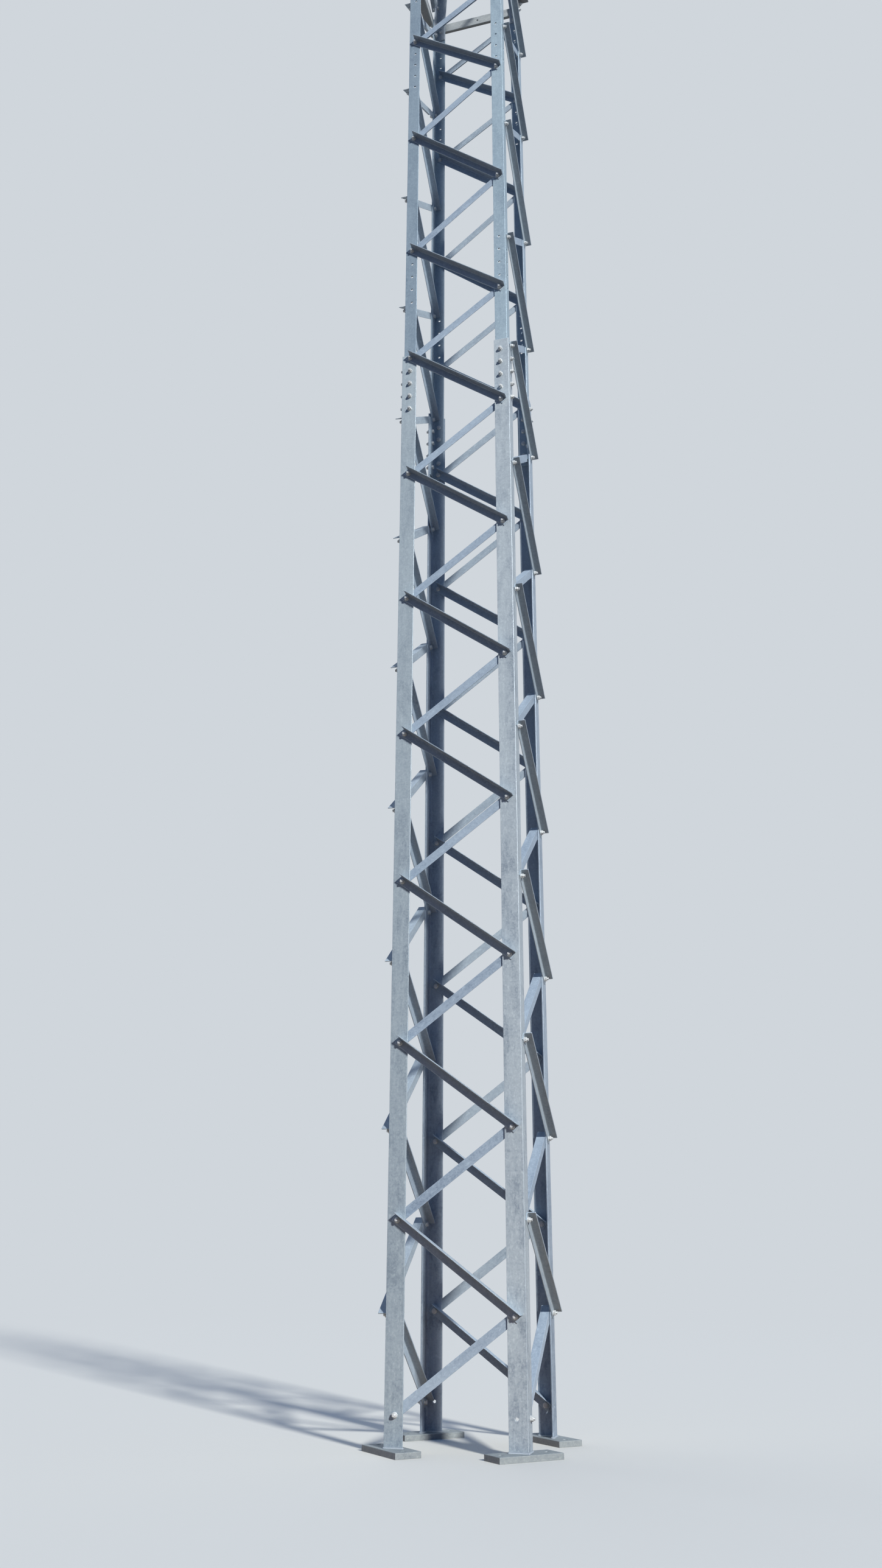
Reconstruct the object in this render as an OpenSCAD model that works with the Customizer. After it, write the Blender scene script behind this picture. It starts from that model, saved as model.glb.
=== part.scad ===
// Square lattice column of galvanised steel angles, as used for line gantries in a substation.
// Four equal-angle legs stand with their heels at the corners, and each face has single zigzag
// lacing. Every lacing bolt joins an outer bar, on the outside of the leg, and an inner bar behind it.
// Each leg is spliced once by a bolted lap, a frame of angles closes the shaft near the top, and
// the legs then lean in to a tapered peak that ends in four bolted cap plates.
// Sizes are in millimetres, +Z is up, and the origin is under the middle of the front left foot plate.

/* [Shaft] */
// Width of each face over the outside of the lower legs
face_width = 900; // [720:10:1200]
// Height of the lowest lacing bolts above the underside of the foot plates
first_bolt = 220; // [150:5:320]
// Rise from one lacing bolt to the next in the lower part
lower_rise = 564; // [450:1:720]
// Rise between lacing bolts just above the splice
splice_rise = 570; // [450:1:720]
// Rise between lacing bolts in the tall bays
tall_rise = 640; // [500:1:800]
// Rise between lacing bolts under the ring frame
top_rise = 546; // [450:1:720]

/* [Lower legs] */
// Leg length of the lower leg angle
lower_leg = 120; // [100:1:150]
// Thickness of the lower leg angle
lower_wall = 12; // [8:1:16]

/* [Upper legs] */
// Leg length of the upper leg angle
upper_leg = 100; // [85:1:125]
// Thickness of the upper leg angle
upper_wall = 10; // [6:1:14]

/* [Lacing] */
// Leg length of the lacing angle
lace_leg = 60; // [50:1:75]
// Thickness of the lacing angle
lace_wall = 6; // [4:1:8]
// Distance from the heel of a lacing angle to its bolts
lace_gauge = 35; // [28:1:38]

/* [Ring frame] */
// Leg length of the ring angle
ring_leg = 100; // [80:1:125]
// Thickness of the ring angle
ring_wall = 10; // [6:1:14]
// Distance from the heel of a ring angle to its bolts
ring_gauge = 50; // [40:1:62]
// Height of the ring bolts above the topmost lacing bolts
ring_rise = 145; // [120:5:220]

/* [Peak] */
// Height of the peak above the bend of its legs
peak_height = 3600; // [2900:50:4400]
// Gap between the toes of neighbouring legs at the very top of the peak
peak_toe_gap = 24; // [10:1:90]
// Leg length of the peak leg angle
peak_leg = 90; // [75:1:95]
// Thickness of the peak leg angle
peak_wall = 9; // [6:1:11]
// Distance from the heel of a peak leg to its bolts
peak_gauge = 45; // [38:1:54]
// Height of the lowest horizontal above the bend
low_level = 665; // [550:5:800]
// Height of the middle horizontal above the bend
middle_level = 1350; // [1125:5:1620]
// Height of the highest horizontal above the bend
high_level = 2160; // [1900:5:2300]
// Distance between the bolts of a horizontal and those of the diagonals next to it
level_offset = 108; // [90:1:130]
// Distance from the bend to the lower bolt of the lowest diagonal
foot_offset = 180; // [150:5:220]

/* [Cap] */
// Height of the cap plates
cap_height = 400; // [300:10:500]
// Thickness of the cap plates
cap_wall = 8; // [5:1:12]
// Distance from the lower edge of a cap plate to its first bolts
cap_edge = 48; // [30:1:60]
// Pitch of the two rows of bolts in a cap plate
cap_pitch = 53; // [44:1:70]

/* [Feet] */
// Length of a foot plate, square to the shaft's diagonal
foot_length = 450; // [420:5:560]
// Width of a foot plate, along the shaft's diagonal
foot_width = 175; // [145:5:240]
// Thickness of a foot plate
foot_wall = 36; // [20:1:50]
// Distance between the two anchor holes of a foot plate
anchor_spacing = 325; // [270:5:370]
// Diameter of an anchor hole
anchor_hole = 33; // [22:1:42]
// Distance from the outer faces of a leg to the middle of its foot plate
foot_inset = 36; // [28:1:46]

/* [Bolting] */
// Diameter of every bolt hole in the angles
bolt_hole = 22; // [14:1:27]
// Distance from a face's edge to its line of bolts
leg_gauge = 68; // [60:1:75]
// Distance from the last bolt of a bar to the bar's end
end_distance = 30; // [24:1:36]
// Distance from the last bolt of a leg to the leg's end
leg_end_distance = 35; // [28:1:42]
// Pitch of the bolts in the splice of the legs
splice_pitch = 125; // [90:1:150]
// Pitch of the spare holes, four to a row, that take cross-beams
row_pitch = 137; // [90:1:142]
// Outer diameter of the ring fill that packs out one bar beside the splice
fill_diameter = 44; // [36:1:54]

/* [Hidden] */
$fn = 48;
CORNERS = ["front_left", "front_right", "back_right", "back_left"];
FACES = ["front", "right", "back", "left"];

LEFT = -1;
RIGHT = 1;
OUTER = -1;
INNER = 1;

// Lacing bolts are numbered upwards. On each face the left leg has the even ones and the right
// leg the odd ones, so the same pattern turns round the shaft.
SPLICE_NODE = 14;
BEAM_NODE = 16;
TALL_NODE = 19;
TOP_NODE = 22;
// Each row of spare holes lies between this lacing bolt and the next one above it
ROW_NODES = [15, 19, 21];
ROW_HOLES = 4;
SPLICE_HOLES = 4;

function node_z(i) =
  first_bolt
  + min(i, SPLICE_NODE) * lower_rise
  + max(0, min(i, BEAM_NODE) - SPLICE_NODE) * splice_rise
  + max(0, min(i, TALL_NODE) - BEAM_NODE) * tall_rise
  + max(0, i - TALL_NODE) * top_rise;

half_width = face_width / 2;
bolt_x = half_width - leg_gauge;
// Depths behind the outside of the lower legs
upper_depth = lower_wall;
peak_depth = lower_wall + upper_wall;

// The lap takes in the two lacing bolts at its ends and every splice bolt between or past them
splice_reach = SPLICE_HOLES * splice_pitch;
lower_top = max(node_z(SPLICE_NODE), node_z(SPLICE_NODE - 1) + splice_reach) + leg_end_distance;
upper_bottom = min(node_z(SPLICE_NODE - 1), node_z(SPLICE_NODE) - splice_reach) - leg_end_distance;
ring_z = node_z(TOP_NODE) + ring_rise;
bend_z = ring_z + leg_end_distance;
peak_foot_z = node_z(TOP_NODE) - leg_end_distance;

// Gap between the ring fill and its bar
fill_clearance = 0.3;
// Gap between an angle's root and what is cropped or ground to pass it
root_clearance = 1;
// How far a shape that cuts runs on past the metal
over = 1;
// Radius of a rolled angle's root for each millimetre of its thickness, and the radii from it
ROOT_RATIO = 1.1;
function root_radius(wall) = wall * ROOT_RATIO;
function toe_radius(wall) = root_radius(wall) / 2;

foot_x = half_width - foot_inset;

peak_half = half_width - peak_depth;
peak_top_half = peak_leg + peak_toe_gap / 2;
peak_slope = (peak_half - peak_top_half) / peak_height;
face_lean = atan(peak_slope);
leg_lean = atan(sqrt(2) * peak_slope);
// A leaning angle can't lie flat in both of its faces: its toes turn in from them by this much
toe_turn = peak_leg
  * (sin(leg_lean) * sin(face_lean) / sqrt(2) - (1 - cos(leg_lean)) * cos(face_lean) / 2);
// Gap between a leaning leg and what is bolted to it
peak_clearance = 0.3;
cap_z = peak_height - cap_height;

// Section of a rolled equal angle with its heel at the origin, a rounded root and rounded toes
module angle_section(leg, wall) {
  root = root_radius(wall);
  difference() {
    union() {
      square([leg, wall]);
      square([wall, leg]);
      translate([wall, wall]) difference() {
        square(root);
        translate([root, root]) circle(root);
      }
    }
    toe_corner(leg, wall);
    mirror([1, -1]) toe_corner(leg, wall);
  }
}

// What the rounding takes off the inner corner of a flange's toe
module toe_corner(leg, wall) {
  toe = toe_radius(wall);
  difference() {
    translate([leg - toe, wall - toe]) square(toe * 2);
    translate([leg - toe, wall - toe]) circle(toe);
  }
}

// What is ground off the heel of an angle that is nested in the root of one of this thickness
module heel_corner(wall) {
  radius = root_radius(wall) + root_clearance;
  difference() {
    translate([-radius, -radius]) square(radius * 2);
    translate([radius, radius]) circle(radius);
  }
}

// Turns the front face, and what is on it, to face number k: 0 front, 1 right, 2 back, 3 left
module on_face(k) {
  rotate([0, 0, 90 * k]) children();
}

// Moves from the shaft's axis to the origin under the front left foot plate
module from_shaft_axis() {
  translate([foot_x, foot_x, 0]) children();
}

// Places children in the leaning front face of the peak, with z measured up the slope
module on_peak_face() {
  translate([0, -peak_half, bend_z]) rotate([-face_lean, 0, 0]) children();
}

// A hole along Y through the front face at (x, z), for metal that starts at depth y
module face_hole(x, z, depth, wall) {
  translate([x, depth - over, z]) rotate([-90, 0, 0]) cylinder(d = bolt_hole, h = wall + 2 * over);
}

// The same hole through the other flange of the front left leg, which lies in the left face
module side_hole(y, z, depth, wall) {
  translate([depth - over, y, z]) rotate([0, 90, 0]) cylinder(d = bolt_hole, h = wall + 2 * over);
}

// An angle lying along X, heel on the top edge, its upright flange against the plane y = 0
module lying_angle(leg, wall, length, side) {
  rotate([-90, 0, 0]) rotate([0, -90 * side, 0])
    linear_extrude(length, center = true) angle_section(leg, wall);
}

// A bar bolted at points a and b, given as [x, z], of the plane y = seat
module bar(a, b, seat, side, leg = lace_leg, wall = lace_wall, gauge = lace_gauge) {
  span = norm(b - a);
  middle = (a + b) / 2;
  translate([middle[0], seat, middle[1]]) rotate([0, -atan2(b[1] - a[1], b[0] - a[0]), 0])
    difference() {
      translate([0, 0, gauge]) lying_angle(leg, wall, span + 2 * end_distance, side);
      for (end = [-1, 1])
        face_hole(end * span / 2, 0, side == INNER ? 0 : -wall, wall);
    }
}

// A lacing bar between lacing bolts i, on the left leg, and j, on the right leg
module lace(i, j, depth, side) {
  bar([-bolt_x, node_z(i)], [bolt_x, node_z(j)], depth - half_width, side);
}

// The same bar behind the legs, with its corners cropped where they meet the legs' roots
module inner_lace(i, j, depth, wall) {
  difference() {
    lace(i, j, depth, INNER);
    translate([0, -half_width, 0])
      for (end = [[LEFT, i], [RIGHT, j]])
        root_crop(end[0], half_width - depth, node_z(end[1]), wall);
  }
}

// A block over the root of the leg on one side: heel is the distance from the middle of the face
// to the inside of the leg's other flange, at height z, and lean tilts the block with the leg
module root_crop(side, heel, z, wall, lean = 0) {
  reach = 4 * lace_leg;
  edge = heel - root_radius(wall) - root_clearance;
  translate([side * edge, 0, z]) rotate([0, -side * lean, 0])
    translate([side == LEFT ? -reach : 0, -reach / 2, -reach / 2]) cube(reach);
}

module foot_plate() {
  color([0.62, 0.67, 0.70])
    translate([-foot_x, -foot_x, 0]) rotate([0, 0, -45]) difference() {
      translate([-foot_length / 2, -foot_width / 2, 0]) cube([foot_length, foot_width, foot_wall]);
      for (end = [-1, 1])
        translate([end * anchor_spacing / 2, 0, -over])
          cylinder(d = anchor_hole, h = foot_wall + 2 * over);
    }
}

module lower_leg() {
  color([0.66, 0.70, 0.72])
    translate([-half_width, -half_width, 0]) difference() {
      translate([0, 0, foot_wall]) linear_extrude(lower_top - foot_wall)
        angle_section(lower_leg, lower_wall);
      // Lacing bolts, even ones on the front flange and odd ones on the side flange
      for (i = [0 : 2 : SPLICE_NODE])
        face_hole(leg_gauge, node_z(i), 0, lower_wall);
      for (i = [1 : 2 : SPLICE_NODE])
        side_hole(leg_gauge, node_z(i), 0, lower_wall);
      // Spare hole beside the lowest lacing bolt
      side_hole(leg_gauge, node_z(0), 0, lower_wall);
      splice_holes(0, lower_wall);
    }
}

// Splice holes go down from the even bolt on one flange and up from the odd bolt on the other
module splice_holes(depth, wall) {
  for (n = [1 : SPLICE_HOLES]) {
    face_hole(leg_gauge, node_z(SPLICE_NODE) - n * splice_pitch, depth, wall);
    side_hole(leg_gauge, node_z(SPLICE_NODE - 1) + n * splice_pitch, depth, wall);
  }
}

module upper_leg() {
  lap = lower_top - upper_bottom;
  color([0.70, 0.73, 0.74])
    translate([-half_width, -half_width, 0]) difference() {
      translate([upper_depth, upper_depth, upper_bottom]) difference() {
        linear_extrude(bend_z - upper_bottom) angle_section(upper_leg, upper_wall);
        translate([0, 0, -over]) linear_extrude(lap + over) heel_corner(lower_wall);
      }
      for (i = [SPLICE_NODE : 2 : TOP_NODE])
        face_hole(leg_gauge, node_z(i), upper_depth, upper_wall);
      for (i = [SPLICE_NODE - 1 : 2 : TOP_NODE])
        side_hole(leg_gauge, node_z(i), upper_depth, upper_wall);
      splice_holes(upper_depth, upper_wall);
      for (i = ROW_NODES, n = [1 : ROW_HOLES]) {
        face_hole(leg_gauge, node_z(i + 1) - n * row_pitch, upper_depth, upper_wall);
        side_hole(leg_gauge, node_z(i) + n * row_pitch, upper_depth, upper_wall);
      }
      ring_holes(upper_depth, upper_wall);
    }
}

// The ring bolts, and one more bolt under them that holds the peak leg's foot
module ring_holes(depth, wall) {
  for (z = [ring_z, ring_z - ring_rise / 2]) {
    face_hole(leg_gauge, z, depth, wall);
    side_hole(leg_gauge, z, depth, wall);
  }
}

// Distances up the slope of a peak face, measured from the bend
low = low_level / cos(face_lean);
middle = middle_level / cos(face_lean);
high = high_level / cos(face_lean);
cap_bottom = cap_z / cos(face_lean);
cap_top = peak_height / cos(face_lean);
CAP_BOLTS = [cap_bottom + cap_edge, cap_bottom + cap_edge + cap_pitch];

// Bars of one peak face as [left bolt, right bolt, side]
PEAK_BARS = [
  [low, low, OUTER],
  [middle, middle, OUTER],
  [high, high, OUTER],
  [foot_offset, low - level_offset, OUTER],
  [middle - level_offset, low + level_offset, OUTER],
  [middle + level_offset, high - level_offset, INNER]
];

// Half the width of a peak face over its legs, at distance z up the slope
function peak_face_half(z) = peak_half - peak_slope * z * cos(face_lean);
function peak_bolt_x(z) = peak_face_half(z) - peak_gauge;

module peak_holes(side) {
  for (z = concat([for (b = PEAK_BARS) b[side == LEFT ? 0 : 1]], CAP_BOLTS))
    face_hole(side * peak_bolt_x(z), z, 0, peak_wall);
}

module peak_leg() {
  slack = peak_leg;
  cut = 4 * slack;
  color([0.74, 0.76, 0.76]) difference() {
    union() {
      translate([-peak_half, -peak_half, peak_foot_z]) difference() {
        linear_extrude(bend_z - peak_foot_z) angle_section(peak_leg, peak_wall);
        translate([0, 0, -over]) linear_extrude(bend_z - peak_foot_z + 2 * over)
          heel_corner(upper_wall);
      }
      difference() {
        translate([-peak_half, -peak_half, bend_z]) rotate(a = leg_lean, v = [-1, 1, 0])
          translate([0, 0, -slack]) linear_extrude(peak_height + cut)
            angle_section(peak_leg, peak_wall);
        for (z = [bend_z - cut, bend_z + peak_height])
          translate([-half_width, -half_width, z]) cube([face_width, face_width, cut]);
      }
    }
    translate([-half_width, -half_width, 0]) {
      ring_holes(peak_depth, peak_wall);
      face_hole(leg_gauge, node_z(TOP_NODE), peak_depth, peak_wall);
    }
    on_peak_face() peak_holes(LEFT);
    // The right-hand bolts of the left face pass through this leg's other flange
    on_face(-1) on_peak_face() peak_holes(RIGHT);
  }
}

module lower_outer_lacing() {
  color([0.55, 0.59, 0.62])
    for (i = [2 : 2 : SPLICE_NODE])
      lace(i, i - 1, 0, OUTER);
}

module lower_inner_lacing() {
  color([0.72, 0.75, 0.76]) {
    for (i = [0 : 2 : SPLICE_NODE - 4])
      inner_lace(i, i + 1, lower_wall, lower_wall);
    // The bar that reaches the lap stands off the lower leg on a ring as thick as the upper leg
    inner_lace(SPLICE_NODE - 2, SPLICE_NODE - 1, peak_depth, upper_wall);
    translate([-bolt_x, lower_wall - half_width, node_z(SPLICE_NODE - 2)]) ring_fill();
  }
}

// Lies against the leg, and clears the bar by the fill's clearance
module ring_fill() {
  rotate([-90, 0, 0]) difference() {
    cylinder(d = fill_diameter, h = upper_wall - fill_clearance);
    translate([0, 0, -over]) cylinder(d = bolt_hole, h = upper_wall + 2 * over);
  }
}

module upper_outer_lacing() {
  color([0.57, 0.61, 0.64])
    for (i = [BEAM_NODE : 2 : TOP_NODE])
      lace(i, i - 1, upper_depth, OUTER);
}

module upper_inner_lacing() {
  color([0.74, 0.77, 0.78])
    for (i = [SPLICE_NODE : 2 : TOP_NODE - 2])
      inner_lace(i, i + 1, peak_depth, upper_wall);
}

module ring_angle() {
  color([0.60, 0.64, 0.66]) difference() {
    bar([-bolt_x, ring_z], [bolt_x, ring_z], upper_depth - half_width, OUTER,
      ring_leg, ring_wall, ring_gauge);
    face_hole(0, ring_z, upper_depth - half_width - ring_wall, ring_wall);
  }
}

module peak_bracing() {
  color([0.71, 0.73, 0.73]) on_peak_face()
    for (b = PEAK_BARS)
      difference() {
        bar([-peak_bolt_x(b[0]), b[0]], [peak_bolt_x(b[1]), b[1]],
          b[2] == INNER ? peak_wall + toe_turn + peak_clearance : -peak_clearance, b[2]);
        if (b[2] == INNER)
          for (end = [[LEFT, b[0]], [RIGHT, b[1]]])
            root_crop(end[0], peak_face_half(end[1]) - peak_wall, end[1], peak_wall, face_lean);
      }
}

module cap_plates() {
  bottom_half = peak_face_half(cap_bottom);
  outline = [
    [-bottom_half, cap_bottom], [bottom_half, cap_bottom],
    [peak_top_half, cap_top], [-peak_top_half, cap_top]
  ];
  color([0.78, 0.80, 0.80])
    for (k = [0 : 3])
      on_face(k) on_peak_face() difference() {
        translate([0, -peak_clearance, 0]) rotate([90, 0, 0]) linear_extrude(cap_wall)
          polygon(outline);
        for (z = CAP_BOLTS, side = [LEFT, RIGHT])
          face_hole(side * peak_bolt_x(z), z, -peak_clearance - cap_wall, cap_wall);
      }
}

from_shaft_axis() {
  for (k = [0 : 3]) {
    on_face(k) foot_plate();
    on_face(k) lower_leg();
    on_face(k) upper_leg();
    on_face(k) peak_leg();
    on_face(k) lower_outer_lacing();
    on_face(k) lower_inner_lacing();
    on_face(k) upper_outer_lacing();
    on_face(k) upper_inner_lacing();
    on_face(k) ring_angle();
    on_face(k) peak_bracing();
  }
  cap_plates();
}
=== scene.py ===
"""Looks of the galvanised lattice column: finish, bolts, welds, floor, light and camera."""
import math

import bpy
import numpy as np
from mathutils import Matrix, Vector


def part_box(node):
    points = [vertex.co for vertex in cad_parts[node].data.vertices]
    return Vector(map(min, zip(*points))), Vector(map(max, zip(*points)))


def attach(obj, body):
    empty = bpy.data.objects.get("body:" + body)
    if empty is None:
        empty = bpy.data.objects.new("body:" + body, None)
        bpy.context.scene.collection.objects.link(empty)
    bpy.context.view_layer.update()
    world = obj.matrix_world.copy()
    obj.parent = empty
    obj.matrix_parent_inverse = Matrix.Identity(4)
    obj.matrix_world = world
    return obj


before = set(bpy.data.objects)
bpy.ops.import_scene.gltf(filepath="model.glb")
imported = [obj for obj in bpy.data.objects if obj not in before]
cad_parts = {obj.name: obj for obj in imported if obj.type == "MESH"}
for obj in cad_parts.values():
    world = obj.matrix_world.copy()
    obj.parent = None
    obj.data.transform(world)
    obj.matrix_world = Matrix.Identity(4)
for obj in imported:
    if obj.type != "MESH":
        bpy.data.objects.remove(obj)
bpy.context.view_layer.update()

# Lengths are metres. Names, and rules of place, are those of the CAD model.
CORNERS = ("front_left", "front_right", "back_right", "back_left")
FACES = ("front", "right", "back", "left")
LEFT = -1
RIGHT = 1

# Heights of the lacing bolts
FIRST_BOLT = 0.220
LOWER_RISE = 0.564
SPLICE_RISE = 0.570
TALL_RISE = 0.640
TOP_RISE = 0.546
SPLICE_NODE = 14
BEAM_NODE = 16
TALL_NODE = 19
TOP_NODE = 22

# Angles and their bolt lines
LEG_GAUGE = 0.068
LACE_WALL = 0.006
PEAK_LEG = 0.090
PEAK_WALL = 0.009
PEAK_GAUGE = 0.045
SPLICE_PITCH = 0.125
SPLICE_HOLES = 4
RING_RISE = 0.145
END_DISTANCE = 0.035
RING_WALL = 0.010
ROOT_RATIO = 1.1

# Peak
PEAK_HEIGHT = 3.600
PEAK_TOE_GAP = 0.024
LOW_LEVEL = 0.665
MIDDLE_LEVEL = 1.350
HIGH_LEVEL = 2.160
LEVEL_OFFSET = 0.108
FOOT_OFFSET = 0.180
PEAK_CLEARANCE = 0.0003
CAP_HEIGHT = 0.400
CAP_WALL = 0.008
CAP_EDGE = 0.048
CAP_PITCH = 0.053

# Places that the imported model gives
leg_low, leg_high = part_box("lower_leg_front_left")
far_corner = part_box("lower_leg_back_right")[1]
half_width = (far_corner.x - leg_low.x) / 2
axis = Vector((leg_low.x + half_width, leg_low.y + half_width, 0))
lower_leg = leg_high.x - leg_low.x
lower_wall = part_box("upper_leg_front_left")[0].x - leg_low.x
peak_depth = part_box("peak_leg_front_left")[0].x - leg_low.x
foot_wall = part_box("foot_plate_front_left")[1].z
bolt_x = half_width - LEG_GAUGE


def node_z(i):
    """Height of lacing bolt i."""
    return (
        FIRST_BOLT
        + min(i, SPLICE_NODE) * LOWER_RISE
        + max(0, min(i, BEAM_NODE) - SPLICE_NODE) * SPLICE_RISE
        + max(0, min(i, TALL_NODE) - BEAM_NODE) * TALL_RISE
        + max(0, i - TALL_NODE) * TOP_RISE
    )


ring_z = node_z(TOP_NODE) + RING_RISE
bend_z = ring_z + END_DISTANCE
peak_half = half_width - peak_depth
peak_slope = (peak_half - PEAK_LEG - PEAK_TOE_GAP / 2) / PEAK_HEIGHT
face_lean = math.atan(peak_slope)


def face_matrix(k):
    """From a face's own axes to the frame: x to the right along the face, y inwards, z up."""
    return (
        Matrix.Translation(axis)
        @ Matrix.Rotation(math.radians(90 * k), 4, "Z")
        @ Matrix.Translation((0, -half_width, 0))
    )


def peak_face_matrix(k):
    """The same for a leaning face of the peak, with z measured up the slope from the bend."""
    return (
        face_matrix(k)
        @ Matrix.Translation((0, peak_depth, bend_z))
        @ Matrix.Rotation(-face_lean, 4, "X")
    )


# Bolting

BOLT = 0.020
THREAD_PITCH = 0.0025
THREAD_TURNS = 5
THREAD_DEPTH = 0.0012
ACROSS_FLATS = 0.030
NUT_HEIGHT = 0.016
HEAD_HEIGHT = 0.0125
WASHER = 0.037
WASHER_HEIGHT = 0.003
CHAMFER = 0.0004
CHAMFER_ANGLE = math.radians(30)

# Radii of the flat inside a nut's chamfered corners, of the rim of its hole and of the ring below
# the rim, where it meets the thread, and how deep that ring lies
NUT_FLAT = ACROSS_FLATS * 0.475
NUT_RIM = BOLT * 0.56
NUT_MOUTH = BOLT * 0.48
MOUTH_DEPTH = 3 * CHAMFER

# Places in a turn of thread where it is deepest and where its crest is, and the length above the
# last turn, all in turns
THREAD_ROOT = 0.45
THREAD_CREST = 0.95
THREAD_END = 0.4

SIDES = 24
SHANK_SIDES = 16
SHARP_ANGLE = math.radians(35)
GOLDEN_ANGLE = math.radians(137.5)


def circle(radius, z, sides=SIDES):
    """A level ring of points."""
    turn = np.arange(sides) * (2 * math.pi / sides)
    return np.column_stack([radius * np.cos(turn), radius * np.sin(turn), np.full(sides, z)])


def hexagon(z, rising):
    """A ring round a hexagon at height z, cut by the cone that chamfers its corners.

    rising is 1 where the corners are cut from above, -1 from below and 0 where they are whole.
    """
    ring = circle(1, 0)
    turn = np.arange(SIDES) * (2 * math.pi / SIDES)
    radius = ACROSS_FLATS / 2 / np.cos((turn + math.pi / 6) % (math.pi / 3) - math.pi / 6)
    ring *= radius[:, None]
    ring[:, 2] = z - rising * (radius - NUT_FLAT) * math.tan(CHAMFER_ANGLE)
    return ring


def loft(rings):
    """A closed solid through rings of as many points each, from the lowest up."""
    count = len(rings[0])
    faces = [tuple(reversed(range(count)))]
    for low in range(0, (len(rings) - 1) * count, count):
        for i in range(count):
            j = (i + 1) % count
            faces.append((low + i, low + j, low + count + j, low + count + i))
    faces.append(tuple(range((len(rings) - 1) * count, len(rings) * count)))
    return np.vstack(rings), faces


def washer(z):
    rim = WASHER / 2
    return loft([
        circle(rim - CHAMFER, z),
        circle(rim, z + CHAMFER),
        circle(rim, z + WASHER_HEIGHT - CHAMFER),
        circle(rim - CHAMFER, z + WASHER_HEIGHT),
    ])


def nut(z):
    top = z + NUT_HEIGHT
    return loft([
        circle(NUT_FLAT, z),
        hexagon(z, -1),
        hexagon(top, 1),
        circle(NUT_FLAT, top),
        circle(NUT_RIM, top),
        circle(NUT_MOUTH, top - MOUTH_DEPTH),
    ])


def head(z):
    """A bolt head that hangs below z."""
    bottom = z - HEAD_HEIGHT
    return loft([circle(NUT_FLAT, bottom), hexagon(bottom, -1), hexagon(z, 0)])


def shank(bottom, thread):
    """Plain to the height called thread, and ridged above it."""
    crest = BOLT / 2
    root = crest - THREAD_DEPTH
    outline = [(crest, bottom), (crest, thread)]
    for turn in range(THREAD_TURNS):
        z = thread + turn * THREAD_PITCH
        outline.append((root, z + THREAD_PITCH * THREAD_ROOT))
        outline.append((crest, z + THREAD_PITCH * THREAD_CREST))
    outline.append((root, thread + (THREAD_TURNS + THREAD_END) * THREAD_PITCH))
    return loft([circle(radius, z, SHANK_SIDES) for radius, z in outline])


def bolt(grip):
    """A bolt through metal from z = -grip to z = 0, with its nut and thread above."""
    nut_z = WASHER_HEIGHT
    head_z = -grip - WASHER_HEIGHT
    return [
        washer(0),
        nut(nut_z),
        shank(head_z - HEAD_HEIGHT / 2, nut_z + NUT_HEIGHT - THREAD_PITCH),
        washer(head_z),
        head(head_z),
    ]


def joined(name, parts):
    """One object made of (points, faces) parts."""
    points = []
    faces = []
    start = 0
    for part_points, part_faces in parts:
        points.append(part_points)
        faces += [tuple(start + i for i in face) for face in part_faces]
        start += len(part_points)
    mesh = bpy.data.meshes.new(name)
    mesh.from_pydata(np.vstack(points).tolist(), [], faces)
    mesh.polygons.foreach_set("use_smooth", [True] * len(mesh.polygons))
    mesh.set_sharp_from_angle(angle=SHARP_ANGLE)
    mesh.update()
    piece = bpy.data.objects.new(name, mesh)
    bpy.context.scene.collection.objects.link(piece)
    return piece


def moved(part, matrix):
    """A (points, faces) part taken somewhere else by a matrix."""
    points, faces = part
    grid = np.array(matrix)
    return points @ grid[:3, :3].T + grid[:3, 3], faces


def bolt_group(name, face, places, material):
    """Bolts at places (x, z, depth of the outermost metal, depth of the innermost) of a face."""
    outwards = Matrix.Rotation(math.radians(90), 4, "X")
    parts = []
    for n, (x, z, outer, inner) in enumerate(places):
        turned = Matrix.Rotation(n * GOLDEN_ANGLE, 4, "Z")
        place = face @ Matrix.Translation((x, outer, z)) @ outwards @ turned
        parts += [moved(part, place) for part in bolt(inner - outer)]
    piece = joined(name, parts)
    piece.data.materials.append(material)
    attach(piece, "root")


def lacing_place(i):
    """Lacing bolt i, with an outer bar except at the lowest, and an inner bar or the peak leg."""
    seat = 0 if i <= SPLICE_NODE else lower_wall
    outer = seat - LACE_WALL if i > 0 else seat
    inner = lower_wall + LACE_WALL if i < SPLICE_NODE - 2 else peak_depth + LACE_WALL
    if i == TOP_NODE:
        inner = peak_depth + PEAK_WALL
    return (LEFT if i % 2 == 0 else RIGHT) * bolt_x, node_z(i), outer, inner


def splice_places():
    """Bolts of the splice, below one lacing bolt on the left leg and above one on the right leg."""
    for n in range(1, SPLICE_HOLES + 1):
        yield LEFT * bolt_x, node_z(SPLICE_NODE) - n * SPLICE_PITCH, 0, peak_depth
        yield RIGHT * bolt_x, node_z(SPLICE_NODE - 1) + n * SPLICE_PITCH, 0, peak_depth


def ring_places():
    """Bolts of the ring frame, and those below it that hold the feet of the peak legs."""
    innermost = peak_depth + PEAK_WALL
    for side in (LEFT, RIGHT):
        yield side * bolt_x, ring_z, lower_wall - RING_WALL, innermost
        yield side * bolt_x, ring_z - RING_RISE / 2, lower_wall, innermost


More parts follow.
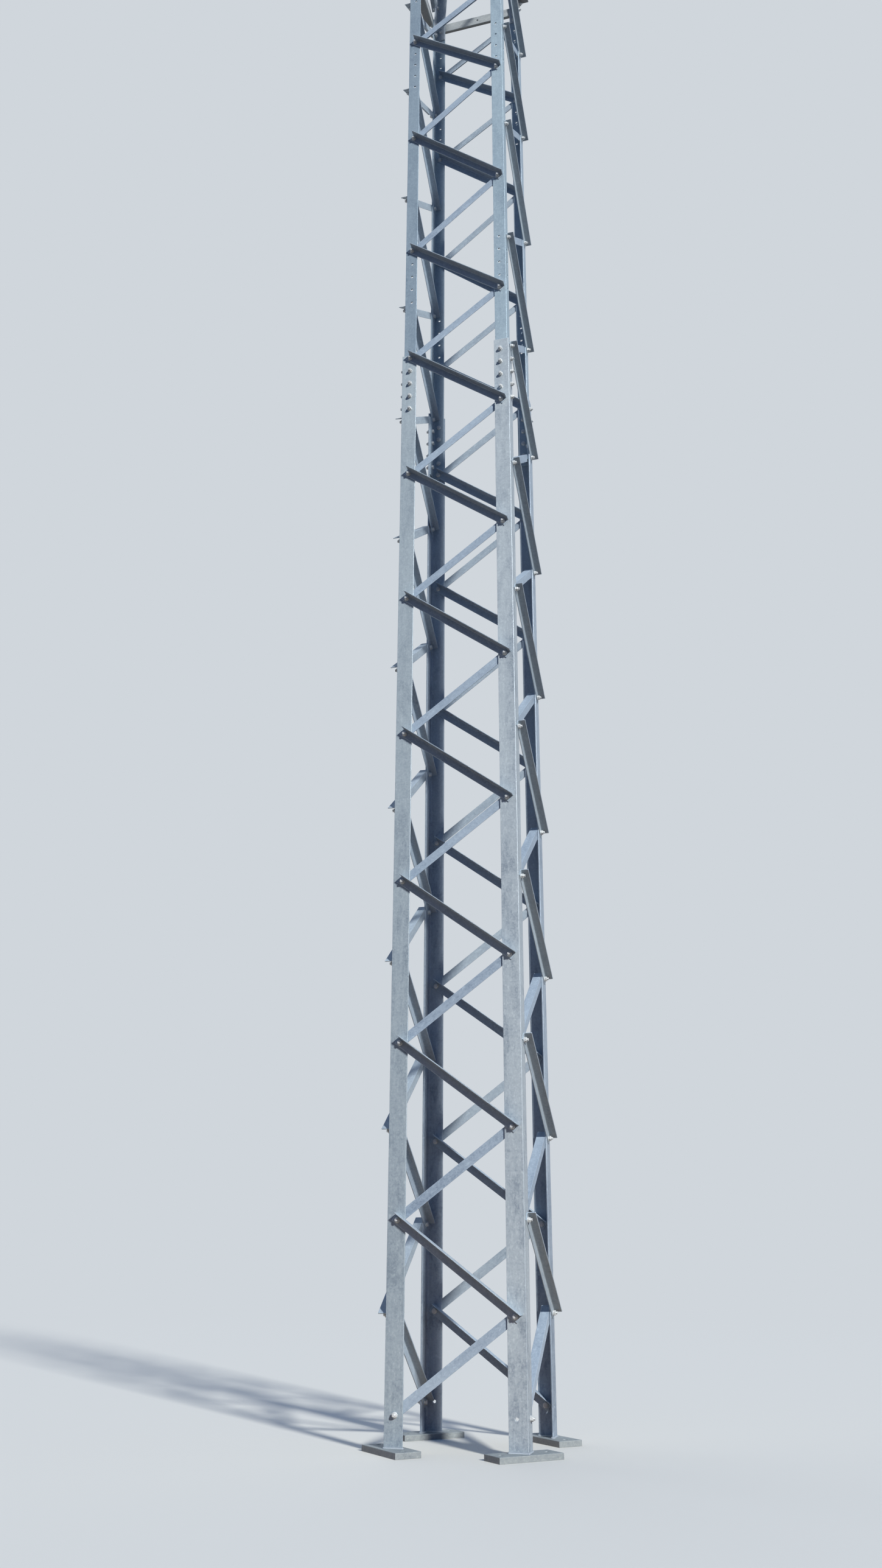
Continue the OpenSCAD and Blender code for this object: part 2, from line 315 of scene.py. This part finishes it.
def peak_places():
    """Bolts of a leaning face, from its foot to its cap."""
    slant = 1 / math.cos(face_lean)
    low, middle, high = LOW_LEVEL * slant, MIDDLE_LEVEL * slant, HIGH_LEVEL * slant
    cap = (PEAK_HEIGHT - CAP_HEIGHT) * slant + CAP_EDGE
    outer_bars = [
        (low, low),
        (middle, middle),
        (high, high),
        (FOOT_OFFSET, low - LEVEL_OFFSET),
        (middle - LEVEL_OFFSET, low + LEVEL_OFFSET),
    ]
    inner_bar = (middle + LEVEL_OFFSET, high - LEVEL_OFFSET)
    outside = -PEAK_CLEARANCE
    inside = PEAK_WALL + PEAK_CLEARANCE
    stacks = [(bar, outside - LACE_WALL, inside) for bar in outer_bars]
    stacks.append((inner_bar, outside, inside + LACE_WALL))
    stacks += [((z, z), outside - CAP_WALL, inside) for z in (cap, cap + CAP_PITCH)]
    for bar, outer, inner in stacks:
        for side, z in zip((LEFT, RIGHT), bar):
            x = peak_half - peak_slope * z * math.cos(face_lean) - PEAK_GAUGE
            yield side * x, z, outer, inner


# Welds

# Size of the bead, distance between its points, its ripples and its slow swelling as shares of the
# size, and the place of its buried edge
WELD = 0.009
WELD_STEP = 0.0012
RIPPLE = 0.0048
RIPPLE_DEPTH = 0.07
WANDER = 37
WANDER_DEPTH = 0.08
WELD_SINK = -0.0004

# Outline of the bead, as shares of its size outwards and upwards
WELD_PROFILE = ((1, 0), (0.86, 0.3), (0.62, 0.62), (0.3, 0.86), (0, 1))

# Rounding of the angle's heel and edges, and the points of each rounding
HEEL_RADIUS = 0.0006
HEEL_STEPS = 5
TOE_STEPS = 9
ROOT_STEPS = 13


def arc(centre, radius, start, end, steps):
    """Points of an arc, from one angle to the other in degrees."""
    turn = np.radians(np.linspace(start, end, steps))
    return np.column_stack([centre[0] + radius * np.cos(turn), centre[1] + radius * np.sin(turn)])


def angle_outline():
    """Outline of the lower leg's section, anticlockwise from its heel, as evenly spaced points."""
    leg, wall, heel = lower_leg, lower_wall, HEEL_RADIUS
    root = wall * ROOT_RATIO
    toe = root / 2
    corners = np.vstack([
        arc((heel, heel), heel, 180, 270, HEEL_STEPS),
        arc((leg - heel, heel), heel, 270, 360, HEEL_STEPS),
        arc((leg - toe, wall - toe), toe, 0, 90, TOE_STEPS),
        arc((wall + root, wall + root), root, 270, 180, ROOT_STEPS),
        arc((wall - toe, leg - toe), toe, 0, 90, TOE_STEPS),
        arc((heel, leg - heel), heel, 90, 180, HEEL_STEPS),
    ])
    closed = np.vstack([corners, corners[:1]])
    run = np.concatenate([[0], np.cumsum(np.linalg.norm(np.diff(closed, axis=0), axis=1))])
    places = np.linspace(0, run[-1], round(run[-1] / WELD_STEP), endpoint=False)
    return np.column_stack([np.interp(places, run, closed[:, i]) for i in (0, 1)]), places


def weld_bead(k):
    """The fillet weld round the foot of leg k, a rippled convex bead."""
    path, places = angle_outline()
    ahead = np.roll(path, -2, axis=0) - np.roll(path, 2, axis=0)
    ahead /= np.linalg.norm(ahead, axis=1)[:, None]
    out = np.column_stack([ahead[:, 1], -ahead[:, 0]])
    swell = WELD * (1 + RIPPLE_DEPTH * np.sin(places / RIPPLE * 2 * math.pi))
    swell *= 1 + WANDER_DEPTH * np.sin(places * WANDER + k)
    sink = np.full(len(path), WELD_SINK)
    rows = [(sink, sink)] + [(a * swell, b * swell) for a, b in WELD_PROFILE]
    points = []
    for reach, rise in rows:
        points.append(np.column_stack([path + out * reach[:, None], foot_wall + rise]))
    count = len(path)
    faces = []
    for row in range(len(rows)):
        low, high = row * count, (row + 1) % len(rows) * count
        for i in range(count):
            j = (i + 1) % count
            faces.append((low + i, low + j, high + j, high + i))
    corner = (
        Matrix.Translation(axis)
        @ Matrix.Rotation(math.radians(90 * k), 4, "Z")
        @ Matrix.Translation((-half_width, -half_width, 0))
    )
    return moved((np.vstack(points), faces), corner)


# Finishes


class Graph:
    """Short calls that add shader nodes to a tree and join them."""

    def __init__(self, tree):
        self.nodes = tree.nodes
        self.links = tree.links
        self.nodes.clear()

    def add(self, kind, inputs=(), **settings):
        node = self.nodes.new("ShaderNode" + kind)
        for key, value in settings.items():
            setattr(node, key, value)
        for key, value in dict(inputs).items():
            if isinstance(value, bpy.types.NodeSocket):
                self.links.new(value, node.inputs[key])
            else:
                node.inputs[key].default_value = value
        return node

    def math(self, operation, *values):
        node = self.add("Math", dict(enumerate(values)), operation=operation)
        return node.outputs[0]

    def vector(self, operation, *values):
        node = self.add("VectorMath", dict(enumerate(values)), operation=operation)
        return node.outputs["Value" if operation in ("DOT_PRODUCT", "LENGTH") else "Vector"]

    def noise(self, vector, scale, detail, roughness=0.55, distortion=0.0):
        inputs = {
            "Vector": vector,
            "Scale": scale,
            "Detail": detail,
            "Roughness": roughness,
            "Distortion": distortion,
        }
        return self.add("TexNoise", inputs).outputs["Fac"]

    def ramp(self, fac, stops):
        node = self.add("ValToRGB", {"Fac": fac})
        band = node.color_ramp
        while len(band.elements) < len(stops):
            band.elements.new(0.5)
        for element, (place, colour) in zip(band.elements, stops):
            element.position = place
            element.color = (*colour, 1)
        return node.outputs["Color"]

    def span(self, value, low, high, to_low, to_high, **settings):
        inputs = {
            "Value": value,
            "From Min": low,
            "From Max": high,
            "To Min": to_low,
            "To Max": to_high,
        }
        return self.add("MapRange", inputs, **settings).outputs["Result"]

    def mix(self, fac, a, b):
        node = self.add("Mix", data_type="RGBA")
        sockets = {socket.identifier: socket for socket in node.inputs}
        for key, value in (("Factor_Float", fac), ("A_Color", a), ("B_Color", b)):
            if isinstance(value, bpy.types.NodeSocket):
                self.links.new(value, sockets[key])
            else:
                sockets[key].default_value = (*value, 1)
        return {socket.identifier: socket for socket in node.outputs}["Result_Color"]


def new_material(name):
    material = bpy.data.materials.new(name)
    material.use_nodes = True
    return material, Graph(material.node_tree)


def shade(colour, factors):
    """A colour made darker or lighter by a factor for each channel."""
    return tuple(min(1.0, c * f) for c, f in zip(colour, factors))


def linear(red, green, blue):
    """A colour written as 0 to 255 on a screen, as the linear colour of a shader."""
    return tuple(((c / 255 + 0.055) / 1.055) ** 2.4 for c in (red, green, blue))


# Noise of each kind of mark in the zinc: marks to a metre, detail, and roughness and distortion
# where they aren't the usual ones
CLOUD = (7.0, 3.0, 0.5)
BLOTCH = (26.0, 4.0, 0.6, 0.5)
RUN = (60.0, 2.0)
GRAIN = (420.0, 2.0)
FLECK = (75.0, 3.0, 0.6, 0.3)
STAIN = (8.0, 5.0, 0.6, 0.8)
RUB = (2.5, 1.0)
CRYSTAL_SCALE = 95.0

# How far each kind moves the tone, which is the place in the range of shades
CLOUD_TONE = 0.80
BLOTCH_TONE = 0.56
RUN_TONE = 0.40
CRYSTAL_TONE = 0.24
GRAIN_TONE = 0.12
FLECK_TONE = 0.30
STAIN_TONE = 0.36
RUB_TONE = 0.14
PIECE_TONE = 0.22
MIDDLE_TONE = 0.5

# Where in its noise a mark begins, and where it is full
FLECK_EDGE = (0.56, 0.66)
STAIN_EDGE = (0.52, 0.60)
RUB_EDGE = (0.64, 0.72)

# How much longer the marks are along the metal, how much wider the rubs are than tall, and the
# part of a stain that blotches leave alone
STRETCH = 9.0
LITTLE_STRETCH = 2.2
RUB_STRETCH = 34.0
STAIN_BASE = 0.4

# How far the marks are shifted from one material to the next and from one bar to the next
SEED_SHIFT = 7.3
SEED_WAVES = (1.7, 2.9, 4.3)
BAR_SHIFT = (9, 9, 9)

# The zinc's shades: a tone, and factors of the colour
SHADES = (
    (0.05, (0.60, 0.63, 0.68)),
    (0.34, (0.87, 0.88, 0.90)),
    (0.55, (1.0, 1.0, 1.0)),
    (0.88, (1.20, 1.19, 1.16)),
)

# Edges, where the zinc is thick and rubbed bright, and where a painted highlight lightens the
# colour as light catching the rounded edges would
EDGE_RADIUS = 0.006
EDGE_FACING = (0.90, 0.998)
EDGE_HIGHLIGHT_AND_RUB_MIX = 0.85
EDGE_HIGHLIGHT_AND_RUB = (1.5, 1.5, 1.5)
EDGE_METALLIC = 0.45
EDGE_SMOOTHNESS = 0.7
ROUND_RADIUS = 0.005
BEVEL_SAMPLES = 4

METALLIC = 0.10
SPECULAR = 0.25
SMOOTHEST, ROUGHEST = 0.56, 0.74
SMOOTH_TONE, ROUGH_TONE = 0.2, 0.8
GRAIN_RELIEF = 0.35
CRYSTAL_RELIEF = 0.25
BUMP_HEIGHT = 0.0012
BUMP_STRENGTH = 0.35

UPRIGHT = (0, -math.pi / 2, 0)
BOLT_SEED = 60
WELD_SEED = 61


def bar_chance(g, place, bars, seed):
    """A random value and colour that are each bar's own, among the bars of one node."""
    direction, pitch, start = bars
    along = g.vector("DOT_PRODUCT", place, direction)
    index = g.math("ROUND", g.math("DIVIDE", g.math("SUBTRACT", along, start), pitch))
    chance = g.add("TexWhiteNoise", {"W": g.math("ADD", index, seed)}, noise_dimensions="1D")
    return chance.outputs["Value"], chance.outputs["Color"]


def stretched(g, place, run, amount):
    """A place by which marks are drawn out along the metal."""
    inputs = {"Vector": place, "Rotation": run, "Scale": (amount, 1, 1)}
    return g.add("Mapping", inputs, vector_type="TEXTURE").outputs[0]


def softened(g, radius):
    """The normal near edges that are rounded by a radius."""
    return g.add("Bevel", {"Radius": radius}, samples=BEVEL_SAMPLES).outputs["Normal"]


def stained(g, tone, place, short_marks, blotch, stains):
    """The tone with dull patches and level rub marks."""
    dull = g.span(g.noise(short_marks, *STAIN), *STAIN_EDGE, 0.0, STAIN_TONE * stains)
    stain = g.math("MULTIPLY", dull, g.math("ADD", blotch, STAIN_BASE))
    tone = g.math("SUBTRACT", tone, stain)
    level = g.add("Mapping", {"Vector": place, "Scale": (1, 1, RUB_STRETCH)}).outputs[0]
    rub = g.span(g.noise(level, *RUB), *RUB_EDGE, 0.0, RUB_TONE * stains)
    return g.math("SUBTRACT", tone, rub)


def galvanised(
    name, colour, seed, run=UPRIGHT, bars=None, island=False, mottle=1.0, stains=0.0, fade=0.0
):
    """Hot-dip zinc: clouds, runs along the metal, crystals and fine grain, in tones of one colour.

    run is the turn that brings x along the metal. bars is (direction, pitch, start), by which
    neighbouring bars of one node are told apart and given tones of their own, and island gives
    each bolt of a piece its own. stains is how strong the dull patches are, and fade is how much
    darker the metal gets towards the ground, and lighter up to the splice.
    """
    material, g = new_material(name)
    own = None
    node_place = g.add("TexCoord").outputs["Object"]
    place = node_place
    if bars:
        own, own_colour = bar_chance(g, node_place, bars, seed)
        place = g.vector("ADD", place, g.vector("MULTIPLY", own_colour, BAR_SHIFT))
    elif island:
        own = g.add("NewGeometry").outputs["Random Per Island"]
    place = g.vector("ADD", place, tuple(SEED_SHIFT * math.sin(seed * n + n) for n in SEED_WAVES))
    long_marks = stretched(g, place, run, STRETCH)
    short_marks = stretched(g, place, run, LITTLE_STRETCH)

    blotch = g.noise(place, *BLOTCH)
    grain = g.noise(place, *GRAIN)
    crystals = g.add("TexVoronoi", {"Vector": place, "Scale": CRYSTAL_SCALE})
    crystal = g.add("SeparateColor", {"Color": crystals.outputs["Color"]}).outputs[0]
    tone = MIDDLE_TONE
    for layer, amount in (
        (g.noise(long_marks, *CLOUD), CLOUD_TONE),
        (blotch, BLOTCH_TONE),
        (g.noise(long_marks, *RUN), RUN_TONE),
        (crystal, CRYSTAL_TONE),
        (grain, GRAIN_TONE),
    ):
        centred = g.math("MULTIPLY_ADD", layer, amount * mottle, -0.5 * amount * mottle)
        tone = g.math("ADD", tone, centred)
    fleck = g.span(g.noise(short_marks, *FLECK), *FLECK_EDGE, 0.0, FLECK_TONE * mottle)
    tone = g.math("ADD", tone, fleck)
    if own is not None:
        tone = g.math("ADD", tone, g.math("MULTIPLY_ADD", own, PIECE_TONE, -PIECE_TONE / 2))
    if fade:
        height = g.add("SeparateXYZ", {"Vector": node_place}).outputs["Z"]
        tone = g.math("ADD", tone, g.span(height, 0.0, node_z(SPLICE_NODE), -fade, fade))
    if stains:
        tone = stained(g, tone, place, short_marks, blotch, stains)

    true_normal = g.add("NewGeometry").outputs["Normal"]
    facing = g.vector("DOT_PRODUCT", softened(g, EDGE_RADIUS), true_normal)
    metal = g.ramp(tone, [(stop, shade(colour, factors)) for stop, factors in SHADES])
    # Lighter colour at the edges: a painted highlight of light on the rounded edges, partly zinc
    # rubbed bright
    metal = g.mix(g.span(facing, *EDGE_FACING, EDGE_HIGHLIGHT_AND_RUB_MIX, 0.0), metal, shade(colour, EDGE_HIGHLIGHT_AND_RUB))
    roughness = g.span(tone, SMOOTH_TONE, ROUGH_TONE, SMOOTHEST, ROUGHEST)
    smoothness = g.span(facing, *EDGE_FACING, EDGE_SMOOTHNESS, 1.0)

    relief = g.math("MULTIPLY_ADD", grain, GRAIN_RELIEF, blotch)
    relief = g.math("MULTIPLY_ADD", crystals.outputs["Distance"], CRYSTAL_RELIEF, relief)
    bump = g.add("Bump", {
        "Strength": BUMP_STRENGTH,
        "Distance": BUMP_HEIGHT,
        "Height": relief,
        "Normal": softened(g, ROUND_RADIUS),
    })
    shader = g.add("BsdfPrincipled", {
        "Base Color": metal,
        "Metallic": g.span(facing, *EDGE_FACING, EDGE_METALLIC, METALLIC),
        "Roughness": g.math("MULTIPLY", roughness, smoothness),
        "Specular IOR Level": SPECULAR,
        "Normal": bump.outputs["Normal"],
    })
    g.add("OutputMaterial", {"Surface": shader.outputs[0]})
    return material


def finish_node(name, material):
    """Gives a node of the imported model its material."""
    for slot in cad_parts[name].material_slots:
        slot.material = material


# Colour, mottling, stains and fade of each leg
LOWER_LEGS = {
    "front_left": (linear(157, 170, 177), 0.9, 0.5, 0.22),
    "front_right": (linear(170, 181, 187), 0.95, 0.65, 0.12),
    "back_right": (linear(156, 170, 182), 0.9, 0.7, 0.12),
    "back_left": (linear(160, 174, 186), 0.9, 0.7, 0.12),
}
UPPER_LEGS = {
    "front_left": (linear(139, 156, 168), 0.8, 0.3, 0.0),
    "front_right": (linear(159, 178, 188), 0.8, 0.3, 0.0),
    "back_right": (linear(158, 175, 187), 0.8, 0.3, 0.0),
    "back_left": (linear(154, 172, 184), 0.8, 0.3, 0.0),
}
OUTER_COLOUR = linear(160, 174, 184)
INNER_COLOUR = linear(157, 173, 187)
RING_COLOUR = linear(164, 170, 171)
PEAK_COLOUR = linear(172, 181, 187)
PEAK_LEGS = (PEAK_COLOUR, 1.0, 0.3, 0.0)
CAP_COLOUR = linear(186, 192, 196)
FOOT_COLOUR = linear(142, 151, 154)
BOLT_COLOUR = linear(196, 200, 200)
BOLT_MOTTLE = 0.6
WELD_COLOUR = linear(154, 163, 170)
WELD_MOTTLE = 0.8

# Slope of the lacing, and the height between one bar and the next of the same slope
LACE_SLOPE = math.atan2(LOWER_RISE, 2 * bolt_x)
BAR_PITCH = 2 * LOWER_RISE


def bar_index(k, down):
    """Direction, pitch and start that number face k's bars, which fall or rise to the right."""
    tilt = math.tan(LACE_SLOPE) * (1 if down else -1)
    x = Matrix.Rotation(math.radians(90 * k), 3, "Z") @ Vector((1, 0, 0))
    direction = Vector((0, 0, 1)) + x * tilt
    first = (node_z(2) + node_z(1)) / 2 if down else (node_z(0) + node_z(1)) / 2
    return tuple(direction), BAR_PITCH, first + tilt * x.dot(axis)


def finish_frame():
    """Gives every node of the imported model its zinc."""
    seed = 0
    for k, corner in enumerate(CORNERS):
        for part, look in (
            ("lower_leg_", LOWER_LEGS[corner]),
            ("upper_leg_", UPPER_LEGS[corner]),
            ("peak_leg_", PEAK_LEGS),
        ):
            seed += 1
            colour, mottle, stains, fade = look
            name = part + corner
            zinc = galvanised(
                "zinc_" + name, colour, seed, mottle=mottle, stains=stains, fade=fade
            )
            finish_node(name, zinc)
        seed += 1
        flat = (0, 0, math.radians(90 * k - 45))
        name = "foot_plate_" + corner
        finish_node(name, galvanised("zinc_" + name, FOOT_COLOUR, seed, flat))
    for k, face in enumerate(FACES):
        level = (0, 0, math.radians(90 * k))
        falling = (0, LACE_SLOPE, math.radians(90 * k))
        rising = (0, -LACE_SLOPE, math.radians(90 * k))
        for part, colour, run, bars in (
            ("lower_outer_lacing_", OUTER_COLOUR, falling, bar_index(k, True)),
            ("upper_outer_lacing_", OUTER_COLOUR, falling, bar_index(k, True)),
            ("lower_inner_lacing_", INNER_COLOUR, rising, bar_index(k, False)),
            ("upper_inner_lacing_", INNER_COLOUR, rising, bar_index(k, False)),
            ("ring_angle_", RING_COLOUR, level, None),
            ("peak_bracing_", PEAK_COLOUR, level, None),
        ):
            seed += 1
            name = part + face
            finish_node(name, galvanised("zinc_" + name, colour, seed, run, bars))
    finish_node("cap_plates", galvanised("zinc_cap_plates", CAP_COLOUR, seed + 1))


def add_bolts():
    """Three groups of bolts on each face, with threads and nuts outwards."""
    zinc = galvanised("zinc_bolts", BOLT_COLOUR, BOLT_SEED, island=True, mottle=BOLT_MOTTLE)
    lower = [lacing_place(i) for i in range(SPLICE_NODE + 1)] + [*splice_places()]
    upper = [lacing_place(i) for i in range(SPLICE_NODE + 1, TOP_NODE + 1)] + [*ring_places()]
    peak = [*peak_places()]
    for k, face in enumerate(FACES):
        bolt_group("lower_bolts_" + face, face_matrix(k), lower, zinc)
        bolt_group("upper_bolts_" + face, face_matrix(k), upper, zinc)
        bolt_group("peak_bolts_" + face, peak_face_matrix(k), peak, zinc)


def add_welds():
    """The weld round each leg's foot, a piece of its own."""
    zinc = galvanised("zinc_welds", WELD_COLOUR, WELD_SEED, mottle=WELD_MOTTLE)
    for k, corner in enumerate(CORNERS):
        piece = joined("foot_weld_" + corner, [weld_bead(k)])
        piece.data.materials.append(zinc)
        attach(piece, "root")


# Stage

# The floor: what shows, what it throws up at the column from near and from far off, its size, and
# how far from the column it begins to turn into the backdrop and is all backdrop
BACKDROP = linear(208, 214, 220)
FLOOR_COLOUR = (0.730, 0.732, 0.674)
NEAR_BOUNCE = linear(170, 136, 100)
FAR_BOUNCE = linear(66, 64, 64)
BOUNCE_START = 2.0
BOUNCE_END = 12.0
FLOOR_RADIUS = 90.0
FLOOR_SIDES = 96
FADE_START = 5.0
FADE_END = 26.0

# Soft light on the sun's side and opposite it, and where the first ends and the second is full, as
# the cosine of the angle to the horizon opposite the sun
SKY_BY_SUN = (0.02, 0.09, 0.27)
SKY_FACING_SUN = (1.45, 1.50, 1.56)
SKY_RANGE = (0.2, 1.0)

SUN_AZIMUTH = 44.5
SUN_HEIGHT = 28.0
SUN_STRENGTH = 4.2
SUN_SIZE = 5.0
SUN_COLOUR = (1.0, 0.985, 0.96)


def towards_sun(height):
    """Direction of the sun's side of the sky, at a height in degrees."""
    azimuth, height = math.radians(SUN_AZIMUTH), math.radians(height)
    return Vector((
        math.sin(azimuth) * math.cos(height),
        -math.cos(azimuth) * math.cos(height),
        math.sin(height),
    ))


def seen(g):
    """1 for rays that show the background: from the camera, in gloss and through glass."""
    path = g.add("LightPath").outputs
    shown = g.math("MAXIMUM", path["Is Camera Ray"], path["Is Glossy Ray"])
    return g.math("MAXIMUM", shown, path["Is Transmission Ray"])


def add_floor():
    """A pale floor that keeps the shadow near the column and turns into the backdrop far off."""
    mesh = bpy.data.meshes.new("floor")
    rim = circle(FLOOR_RADIUS, 0, FLOOR_SIDES).tolist()
    mesh.from_pydata(rim, [], [tuple(range(FLOOR_SIDES))])
    floor = bpy.data.objects.new("floor", mesh)
    floor.location = axis
    bpy.context.scene.collection.objects.link(floor)
    material, g = new_material("floor")
    place = g.add("TexCoord").outputs["Object"]
    far = g.vector("LENGTH", place)
    fade = g.span(far, FADE_START, FADE_END, 0.0, 1.0, interpolation_type="SMOOTHSTEP")
    shown = seen(g)
    bounce = g.mix(g.span(far, BOUNCE_START, BOUNCE_END, 0.0, 1.0), NEAR_BOUNCE, FAR_BOUNCE)
    colour = g.mix(shown, bounce, FLOOR_COLOUR)
    floor_shader = g.add("BsdfDiffuse", {"Color": colour}).outputs[0]
    backdrop = g.add("Emission", {"Color": (*BACKDROP, 1), "Strength": 1.0}).outputs[0]
    part = g.math("MULTIPLY", fade, shown)
    blend = g.add("MixShader", {0: part, 1: floor_shader, 2: backdrop}).outputs[0]
    g.add("OutputMaterial", {"Surface": blend})
    mesh.materials.append(material)


def add_world():
    """Soft light, weakest on the sun's side so that shade stays deep, and a plain pale backdrop."""
    world = bpy.data.worlds.new("backdrop")
    world.use_nodes = True
    bpy.context.scene.world = world
    g = Graph(world.node_tree)
    direction = g.add("TexCoord").outputs["Generated"]
    away = g.vector("DOT_PRODUCT", direction, -towards_sun(0))
    sky = g.mix(g.span(away, *SKY_RANGE, 0.0, 1.0), SKY_BY_SUN, SKY_FACING_SUN)
    colour = g.mix(seen(g), sky, BACKDROP)
    light = g.add("Background", {"Color": colour, "Strength": 1.0}).outputs[0]
    g.add("OutputWorld", {"Surface": light})


def add_sun():
    sun = bpy.data.objects.new("sun", bpy.data.lights.new("sun", "SUN"))
    sun.data.energy = SUN_STRENGTH
    sun.data.angle = math.radians(SUN_SIZE)
    sun.data.color = SUN_COLOUR
    sun.rotation_mode = "QUATERNION"
    sun.rotation_quaternion = towards_sun(SUN_HEIGHT).to_track_quat("Z", "Y")
    bpy.context.scene.collection.objects.link(sun)


# Camera, found by fitting the column's bolts and feet to the photograph

CAMERA_FROM_AXIS = Vector((2.206, -8.703, 1.072))
CAMERA_HEADING = 15.635
CAMERA_RISE = 20.729
CAMERA_ROLL = 0.225
FOCAL_PIXELS = 2093.4
PHOTO_HEIGHT = 2576
SENSOR = 36.0
VIEW_DEPTH = 400


def add_camera():
    camera = bpy.data.objects.new("camera", bpy.data.cameras.new("camera"))
    camera.data.sensor_width = SENSOR
    camera.data.lens = FOCAL_PIXELS / PHOTO_HEIGHT * SENSOR
    camera.data.clip_end = VIEW_DEPTH
    camera.matrix_world = (
        Matrix.Translation(axis + CAMERA_FROM_AXIS)
        @ Matrix.Rotation(math.radians(CAMERA_HEADING), 4, "Z")
        @ Matrix.Rotation(math.radians(90 + CAMERA_RISE), 4, "X")
        @ Matrix.Rotation(math.radians(CAMERA_ROLL), 4, "Z")
    )
    bpy.context.scene.collection.objects.link(camera)
    bpy.context.scene.camera = camera


finish_frame()
add_bolts()
add_welds()
add_floor()
add_world()
add_sun()
add_camera()
bpy.context.scene.view_settings.view_transform = "Standard"
